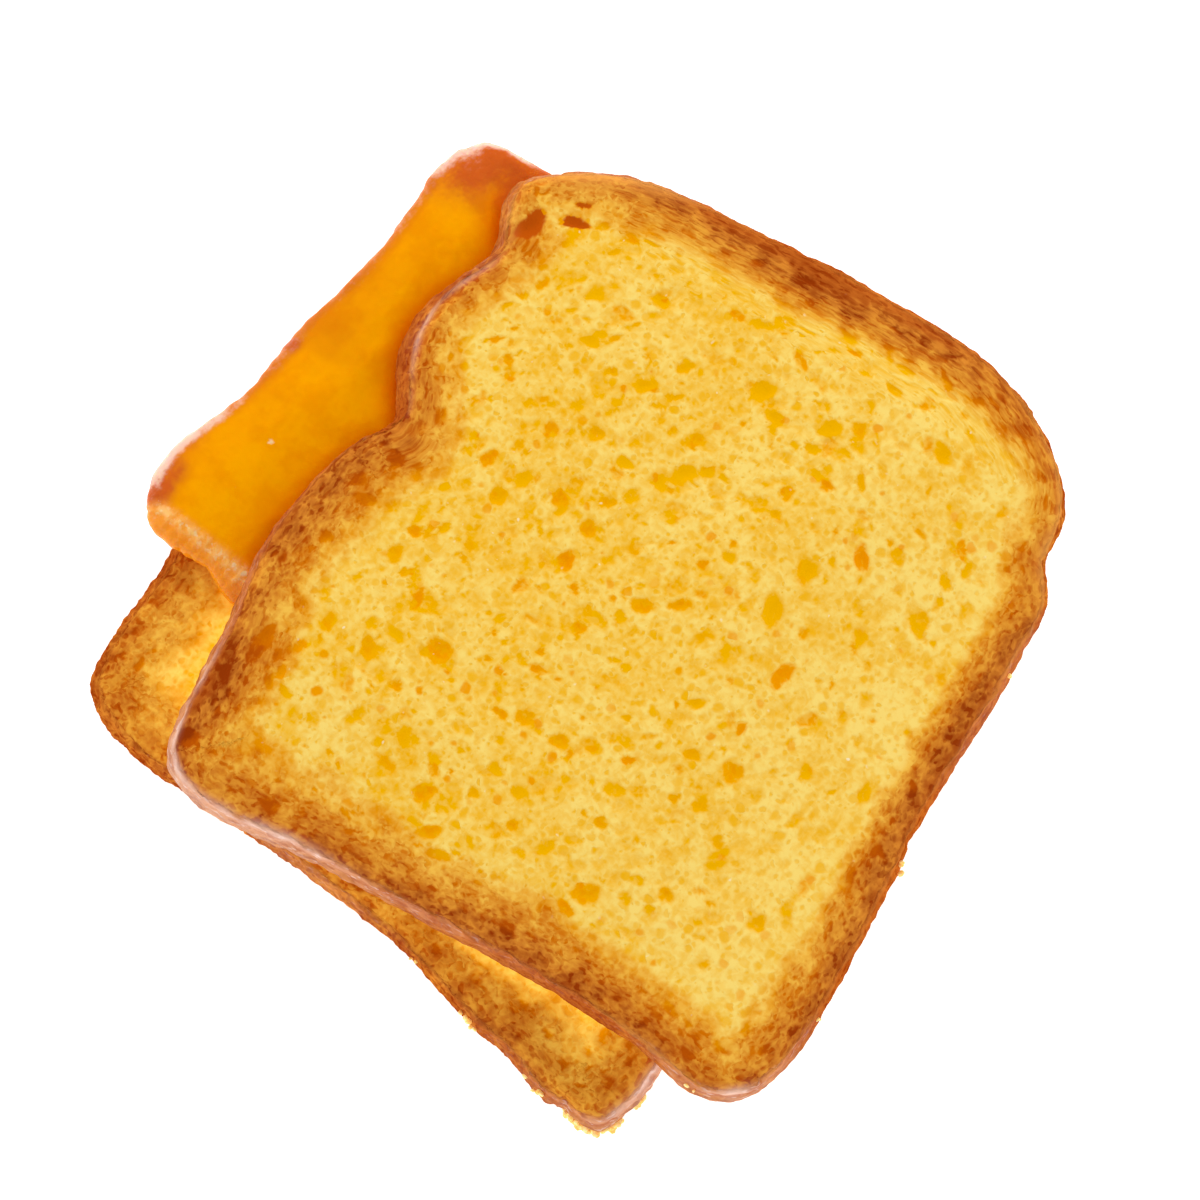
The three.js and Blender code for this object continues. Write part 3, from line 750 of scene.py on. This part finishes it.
class Shader:
    """A material's nodes, ending in one Principled BSDF."""

    def __init__(self, name):
        self.material = bpy.data.materials.new(name)
        self.material.use_nodes = True
        self.tree = self.material.node_tree
        self.principled = self.tree.nodes["Principled BSDF"]

    def node(self, kind, settings=None, inputs=None, output=0):
        """Adds a node, sets its settings, then fills its sockets with values or links."""
        made = self.tree.nodes.new(kind)
        for key, value in (settings or {}).items():
            setattr(made, key, value)
        for key, value in (inputs or {}).items():
            self.fill(made.inputs[key], value)
        return Value(self, made.outputs[output])

    def fill(self, socket, value):
        if isinstance(value, Value):
            self.tree.links.new(value.socket, socket)
        else:
            socket.default_value = value

    def surface(self, **inputs):
        """Fills the Principled BSDF's sockets: base_color fills Base Color."""
        names = {socket.name.lower().replace(" ", "_"): socket.name for socket in self.principled.inputs}
        for key, value in inputs.items():
            self.fill(self.principled.inputs[names[key]], value)

    def value(self, name):
        return self.node("ShaderNodeAttribute", {"attribute_name": name}, output="Fac")

    def place(self):
        """Object coordinates in millimetres."""
        metres = self.node("ShaderNodeTexCoord", output="Object")
        return self.scaled(metres, 1 / MM)

    def scaled(self, vector, factor):
        return self.node("ShaderNodeVectorMath", {"operation": "SCALE"}, {0: vector, "Scale": factor})

    def stretched(self, vector, factors):
        return self.node("ShaderNodeVectorMath", {"operation": "MULTIPLY"}, {0: vector, 1: factors})

    def moved(self, vector, by):
        return self.node("ShaderNodeVectorMath", {"operation": "ADD"}, {0: vector, 1: by})

    def noise(self, vector, size, detail=2, roughness=0.5, output=0):
        inputs = {"Vector": vector, "Scale": 1 / size, "Detail": detail, "Roughness": roughness}
        return self.node("ShaderNodeTexNoise", {"noise_dimensions": "2D"}, inputs, output)

    def pits(self, vector, size):
        """Round pits of many widths, one to each square of the size: how deep they are, and their tone."""
        inputs = {"Vector": vector, "Scale": 1 / size}
        own = self.node("ShaderNodeTexVoronoi", {"voronoi_dimensions": "2D"}, inputs, "Color")
        distance = Value(self, own.socket.node.outputs["Distance"])
        width, depth, tone = [self.node("ShaderNodeSeparateColor", {}, {0: own}, i) for i in range(3)]
        return (width * 0.36 + 0.12 - distance).ramp(0, 0.25) * (depth * 0.7 + 0.3), tone.ramp(0.7, 0.9)

    def mix(self, factor, first, second):
        """A colour between two, by the factor."""
        return self.node("ShaderNodeMix", {"data_type": "RGBA"}, {0: factor, 6: first, 7: second}, output=2)

    def pick(self, factor, first, second):
        """One of two vectors: the second where the factor is 1."""
        return self.node("ShaderNodeMix", {"data_type": "VECTOR"}, {0: factor, 4: first, 5: second}, output=1)

    def shade(self, by, colours):
        """A colour that runs through the colours as by goes from 0 to 1."""
        steps = len(colours) - 1
        out = colours[0]
        for i, colour in enumerate(colours[1:]):
            out = self.mix(by.ramp(i / steps, (i + 1) / steps), out, colour)
        return out

    def bump(self, height):
        """A normal from a height in millimetres."""
        return self.node("ShaderNodeBump", {}, {"Height": height, "Distance": MM})


def rgb(red, green, blue):
    """A colour as a shader takes it, from its 0 to 255 levels on screen."""
    def linear(level):
        share = level / 255
        return share / 12.92 if share <= 0.04045 else ((share + 0.055) / 1.055) ** 2.4

    return (linear(red), linear(green), linear(blue), 1)


# ---------------------------------------------------------------- colours

BLACK = (0, 0, 0, 1)
WHITE = (1, 1, 1, 1)

# the crumb's walls and its holes, from untoasted to dark
WEB = [rgb(251, 217, 114), rgb(246, 191, 76), rgb(234, 163, 56), rgb(220, 136, 46), rgb(198, 106, 34)]
CELLS = [rgb(243, 178, 0), rgb(230, 146, 0), rgb(209, 111, 2), rgb(184, 81, 5), rgb(148, 54, 6)]
DEEP_PORE = rgb(242, 152, 0)
BROWN_PORE = rgb(194, 84, 8)
# a painted highlight on the crumb
PAINTED_GLINT_WHITE = rgb(255, 246, 215)
LIGHT_RIM = rgb(237, 164, 78)

# the crust high up and, painted darker as shade, low down, between its folds and on them
LIGHT_CRUST = rgb(213, 145, 98)
DARK_CRUST = rgb(184, 104, 58)
SHADED_LOW_CRUST = rgb(206, 132, 72)
SHADED_LOW_FOLD = rgb(164, 88, 38)
# a painted highlight on the crust
PAINTED_CRUST_HIGHLIGHT = rgb(240, 206, 190)
# the tint of the painted glow that stands in for light under the upper slice's edge
GLOW_TINT = (1, 0.98, 0.4)

CHEESE_LIGHT = (0.97, 0.395, 0, 1)
CHEESE_DEEP = (0.9, 0.33, 0, 1)
# painted shade for slopes that face the bright side
CHEESE_LIT_SLOPE_SHADE = rgb(216, 118, 10)
# the painted contact shadow beside the upper slice
CHEESE_SHADED = rgb(222, 96, 0)
CHEESE_END = rgb(250, 150, 22)
# a painted highlight on the low end
CHEESE_END_HIGHLIGHT = rgb(255, 200, 118)
# a painted highlight
CHEESE_GLINT = rgb(255, 228, 176)
# a painted reflection of the white surroundings on the lip
CHEESE_LIP_REFLECTION = rgb(246, 206, 184)
CHEESE_BROWN = rgb(204, 92, 30)

CRUMB_LIGHT = rgb(255, 230, 160)
CRUMB_DARK = rgb(250, 196, 104)
# the crumbs' painted glow, which stands in for light from the floor
CRUMB_GLOW = rgb(255, 205, 120)
PAPER = (0.9, 0.9, 0.9, 1)


# ---------------------------------------------------------------- materials


def grain_place(sh, place, crust, bend, clumps):
    """Where the bread's holes and grain are read: they are drawn out along the rim's band, crown and wall."""
    along_band = sh.moved(sh.stretched(crust, (0.85, 1.5, 1)), sh.scaled(bend, 0.7))
    along_crown = sh.moved(sh.stretched(crust, (0.45, 2.2, 1)), bend)
    on_band = (sh.value("brown") + (clumps - 0.5) * 0.4).above(0.42)
    on_crown = (sh.value("streak") + (clumps - 0.5) * 0.3).above(0.45)
    on_wall = sh.value("wall").above(0.5)
    on_face = sh.pick(on_crown, sh.pick(on_band, sh.moved(place, bend), along_band), along_crown)
    return sh.pick(on_wall, on_face, sh.moved(crust, bend))


def crust_look(sh, crust, bend):
    """The crust's colour, folds and flecks: paler high up where it shows most and painted darker low down as
    shade, mottled, with painted highlights on a few flecks and where the pale value passes 1.
    """
    fold = sh.noise(sh.moved(sh.stretched(crust, (0.25, 0.6, 1)), bend), 1, roughness=0.6)
    glint_fleck = sh.noise(sh.moved(sh.stretched(crust, (0.45, 1.3, 1)), (9, 4, 0)), 1).ramp(0.6, 0.72)
    # painted shade: the crust is painted darker low down on the wall, and its painted highlights fade there
    low = sh.value("depth").ramp(2.5, 6)
    light = sh.mix(low, LIGHT_CRUST, SHADED_LOW_CRUST)
    dark = sh.mix(low, DARK_CRUST, SHADED_LOW_FOLD)
    colour = sh.mix(fold.ramp(0.3, 0.7), light, dark)
    # painted highlights: on flecks, fewer low down, and where the pale value passes 1
    bright = (glint_fleck * (0.6 - low * 0.4)).or_more(sh.value("pale") - 1)
    return sh.mix(bright, colour, PAINTED_CRUST_HIGHLIGHT), fold, glint_fleck


def bread_material(name, least_burn, glow_strength):
    """Toasted bread, from pale crumb to brown rim, with painted light: a glow and lighter toast where light
    would come in beside the upper slice, walls painted darker as shade, and painted highlights on crumb and
    crust.
    """
    sh = Shader(name)
    place = sh.place()
    crust = sh.node("ShaderNodeUVMap", {"uv_map": "crust"})
    pore, tone, brown = sh.value("pore"), sh.value("tone"), sh.value("brown")
    wall, pale, shine, glow = sh.value("wall"), sh.value("pale"), sh.value("shine"), sh.value("glow")
    clumps = sh.noise(place, 3.5).ramp(0.3, 0.7)
    mottle = sh.noise(place, 14).ramp(0.3, 0.7)

    # its holes, which are pits of all sizes, and its grain
    bend = sh.scaled(sh.noise(place, 2.2, output="Color"), 1.2)
    grainy = grain_place(sh, place, crust, bend, clumps)
    large, large_deep = sh.pits(grainy, 2.6)
    small, _ = sh.pits(sh.moved(grainy, (5, 3, 0)), 1.4)
    grain = sh.noise(grainy, 1.1).ramp(0.25, 0.75)
    dash = (sh.noise(sh.moved(grainy, (3, 8, 0)), 1.5, detail=1, roughness=0.6) - 0.5).ramp(0.06, 0.16)

    # how far it is toasted, with painted light and shade in it: lighter where the glow lies, darker on the
    # walls
    unrest = (clumps - 0.5) * 0.11 + (mottle - 0.5) * 0.1
    # painted light: where the glow lies the least toasting is taken off, so the face is painted lighter there
    toast_and_painted_light = brown * 0.97 + unrest * (brown.ramp(0, 0.3) * 0.8 + 0.2) + (1 - glow) * least_burn
    scorch = toast_and_painted_light.ramp(0, 0.5)
    # the walls are painted more toasted: partly the crust's own darker toast, partly painted shade against
    # the side light they catch
    toast_and_painted_light = toast_and_painted_light + (grain - 0.5) * scorch * 0.1 + wall * scorch * 0.3

    # how much of a hole each place is, and the colour there
    hole = (pore * (grain * 0.5 + 0.9)).or_more((large * 0.85).or_more(small * 0.7) * (1 - scorch * 0.2))
    fine = (grain - 0.5) * (0.44 - scorch * 0.14) + (clumps - 0.5) * 0.24 + (mottle - 0.5) * 0.3
    fine = fine + dash * scorch * 0.42
    hollow = 0.36 - sh.value("fair") * (1 - scorch) * 0.18 + hole * 0.8 + fine * (1 - hole)
    deep = (tone * pore * (grain * 0.8 + 0.6)).or_more(large_deep * large * 0.8) * (1 - scorch)
    inner = sh.mix(deep.ramp(0, 1), sh.shade(toast_and_painted_light * 1.15, CELLS), DEEP_PORE)
    inner = sh.mix(((tone - 1) * pore).ramp(0, 0.7), inner, BROWN_PORE)
    face_colour = sh.mix(hollow, sh.shade(toast_and_painted_light * 0.9, WEB), inner)
    face_colour = sh.mix(sh.value("edge") * 0.9, face_colour, LIGHT_RIM)
    # painted highlights: small near-white glints on the crumb, where butter would catch the light
    glint = sh.noise(sh.moved(place, (31, 7, 0)), 1.5, detail=1).ramp(0.79, 0.9) * mottle
    face_colour = sh.mix(glint * (1 - scorch) * 0.8, face_colour, PAINTED_GLINT_WHITE)

    crust_colour, fold, glint_fleck = crust_look(sh, crust, bend)
    # painted highlights: the shine lines are painted pale pink-white
    colour = sh.mix(shine, sh.mix(pale, face_colour, crust_colour), PAINTED_CRUST_HIGHLIGHT)
    # painted light: the face glows with its own colour where light would come in beside the upper slice
    lit = glow * (1 - wall) * (1 - scorch * 0.7)
    sh.surface(
        base_color=colour,
        roughness=0.65,
        coat_weight=pale * (glint_fleck * 0.5 + 0.25) + glint * 0.5 + shine * 0.4,
        coat_roughness=0.18,
        specular_ior_level=0,
        emission_color=sh.mix(lit, BLACK, sh.stretched(colour, GLOW_TINT)),
        emission_strength=glow_strength,
        normal=sh.bump(grain * 0.05 - hollow * 0.1 + wall * (fold - 0.5) * 0.2),
    )
    return sh.material


def cheese_material():
    """Glossy melted cheese: amber on top, browned at its rim, with painted light: a painted reflection on its
    pale glassy lip, painted highlights on its bumpy low end and fat bubbles, a painted contact shadow beside
    the upper slice and painted shade on slopes that face the bright side.
    """
    sh = Shader("melted_orange_cheese")
    place = sh.place()
    side, end, brown, lip_reflection = sh.value("side"), sh.value("end"), sh.value("brown"), sh.value("lip_reflection")
    glint, end_sheen = sh.value("glint"), sh.value("end_sheen")
    soft = sh.noise(place, 7)
    fine = sh.noise(place, 1.3, detail=3)
    specks = sh.noise(sh.moved(place, (8, 2, 0)), 0.9)
    colour = sh.mix((soft + (fine - 0.5) * 0.25).ramp(0.35, 0.7), CHEESE_LIGHT, CHEESE_DEEP)
    # painted shade: slopes that face the bright side are painted darker
    colour = sh.mix(sh.value("lit_slope_shade").ramp(0, 0.5) * 0.75, colour, CHEESE_LIT_SLOPE_SHADE)
    # painted shadow: the cheese is painted deeper orange beside the upper slice
    colour = sh.mix(sh.value("under"), colour, CHEESE_SHADED)
    colour = sh.mix(end * 0.8, colour, CHEESE_END)
    # painted highlights in streaks along the bumpy low end
    colour = sh.mix(end_sheen * (fine.ramp(0.3, 0.65) * 0.7 + 0.2), colour, CHEESE_END_HIGHLIGHT)
    browning = (brown + (specks - 0.5) * brown * 0.6 + (soft - 0.5) * brown).ramp(0, 0.9)
    colour = sh.mix(browning.or_more(side * (1 - end) * 0.55), colour, CHEESE_BROWN)
    # painted reflection: the glassy lip is painted pale pink-white
    colour = sh.mix((lip_reflection + (specks - 0.5) * 0.9).ramp(0.15, 0.9) * lip_reflection, colour, CHEESE_LIP_REFLECTION)
    # painted highlights: glints on fat bubbles and flecks along the low end
    bright = (glint + (fine - 0.5)).ramp(0.3, 0.7) * glint.ramp(0, 0.2)
    bright = bright.or_more(end_sheen * specks.ramp(0.56, 0.7) * 0.7)
    colour = sh.mix(bright * 0.7, colour, CHEESE_GLINT)
    sh.surface(
        base_color=colour,
        roughness=0.5,
        specular_ior_level=0,
        coat_weight=(side * 0.5).or_more(end * 0.3).or_more(bright),
        coat_roughness=0.1,
        subsurface_weight=0.3,
        subsurface_radius=(1.0, 0.4, 0.05),
        subsurface_scale=3 * MM,
        normal=sh.bump(fine * (end * 0.25 + brown * 0.2 + 0.1) + soft * 0.3),
    )
    return sh.material


def crumb_material():
    """Golden crumbs, browner here and there, with a painted glow that stands in for light from the white
    floor.
    """
    sh = Shader("golden_crumbs")
    place = sh.place()
    grain = sh.noise(place, 0.5)
    tone = (sh.noise(place, 1.2) + (grain - 0.5) * 0.5).ramp(0.35, 0.7)
    sh.surface(
        base_color=sh.mix(tone, CRUMB_LIGHT, CRUMB_DARK),
        # painted light: the crumbs glow, though they are no lamp
        emission_color=CRUMB_GLOW,
        emission_strength=0.18,
        roughness=0.6,
        specular_ior_level=0,
        subsurface_weight=0.3,
        subsurface_radius=(1.0, 0.5, 0.1),
        subsurface_scale=1.5 * MM,
        normal=sh.bump(grain * 0.03),
    )
    return sh.material


def paper_material():
    sh = Shader("white_paper")
    sh.surface(base_color=PAPER, roughness=0.9, emission_color=WHITE, emission_strength=0.7)
    return sh.material


# ---------------------------------------------------------------- stage, light and camera

# in metres and watts
FLOOR_SIDE = 6
FLOOR_DROP = 0.0002  # below the sandwich
SIDE_LIGHT = 1.36  # the surroundings' brightness at the sides
OVERHEAD_LIGHT = 0.23  # and overhead
SIDE_TOP = 0.5  # the upward part of the directions where the one begins to fade into the other
OVERHEAD_START = 0.97  # and where it has faded
SOFTBOX_PLACE = (-0.55, 0.7, 0.75)
SOFTBOX_AIM = (0, 0, 0.02)
SOFTBOX_SIDE = 0.35
SOFTBOX_POWER = 3
CAMERA_PLACE = Vector((0.0764, -0.1091, 0.630))
CAMERA_AIM = Vector((0.0005, 0.0, 0.018))
VIEW_UP = Vector((-0.624, 0.782, 0))  # the direction on the table that the camera sees as up
LENS = 114  # millimetres
SENSOR = 36  # the sensor's width in millimetres
CLIP_START = 0.01


def make_floor():
    deselect_all()
    bpy.ops.mesh.primitive_plane_add(size=FLOOR_SIDE, location=(0, 0, -FLOOR_DROP))
    floor = bpy.context.active_object
    floor.name = "floor"
    bpy.ops.object.transform_apply(location=True)
    floor.data.materials.append(paper_material())
    return floor


def make_surroundings():
    """White surroundings that are dim overhead, so that the flat faces keep their full colour."""
    world = bpy.data.worlds.new("studio")
    bpy.context.scene.world = world
    world.use_nodes = True
    tree = world.node_tree
    background = tree.nodes["Background"]
    background.inputs["Color"].default_value = WHITE
    direction = tree.nodes.new("ShaderNodeTexCoord")
    split = tree.nodes.new("ShaderNodeSeparateXYZ")
    level = tree.nodes.new("ShaderNodeMapRange")
    level.interpolation_type = "SMOOTHSTEP"
    level.inputs["From Min"].default_value = SIDE_TOP
    level.inputs["From Max"].default_value = OVERHEAD_START
    level.inputs["To Min"].default_value = SIDE_LIGHT
    level.inputs["To Max"].default_value = OVERHEAD_LIGHT
    tree.links.new(direction.outputs["Generated"], split.inputs[0])
    tree.links.new(split.outputs["Z"], level.inputs["Value"])
    tree.links.new(level.outputs[0], background.inputs["Strength"])
    bpy.context.scene.view_settings.view_transform = "Standard"


def make_softbox():
    bpy.ops.object.light_add(type="AREA", location=SOFTBOX_PLACE)
    light = bpy.context.active_object
    light.name = "key_softbox"
    light.data.shape = "SQUARE"
    light.data.size = SOFTBOX_SIDE
    light.data.energy = SOFTBOX_POWER
    direction = Vector(SOFTBOX_AIM) - Vector(SOFTBOX_PLACE)
    light.rotation_euler = direction.to_track_quat("-Z", "Y").to_euler()


def make_camera():
    data = bpy.data.cameras.new("camera")
    camera = bpy.data.objects.new("camera", data)
    bpy.context.collection.objects.link(camera)
    back = (CAMERA_PLACE - CAMERA_AIM).normalized()
    up = (VIEW_UP - back * VIEW_UP.dot(back)).normalized()
    right = up.cross(back)
    turn = Matrix((right, up, back)).transposed()
    camera.matrix_world = Matrix.Translation(CAMERA_PLACE) @ turn.to_4x4()
    data.lens = LENS
    data.sensor_width = SENSOR
    data.clip_start = CLIP_START
    bpy.context.scene.camera = camera


# ---------------------------------------------------------------- assembly


def dress(piece, material, node=None):
    piece.data.materials.clear()
    piece.data.materials.append(material)
    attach(piece, "root")
    if node:
        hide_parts(node)


make_camera()
make_surroundings()
make_softbox()
make_floor()

golden_toast = bread_material("golden_toast", least_burn=0, glow_strength=0)
# the lower slice has the painted glow
brown_toast = bread_material("brown_toast", least_burn=0.14, glow_strength=0.6)
dress(make_lower_slice(), brown_toast, "bread_slice_bottom")
dress(make_cheese(), cheese_material(), "cheese_slice")
dress(make_upper_slice(), golden_toast, "bread_slice_top")
dress(make_crumbs(), crumb_material())
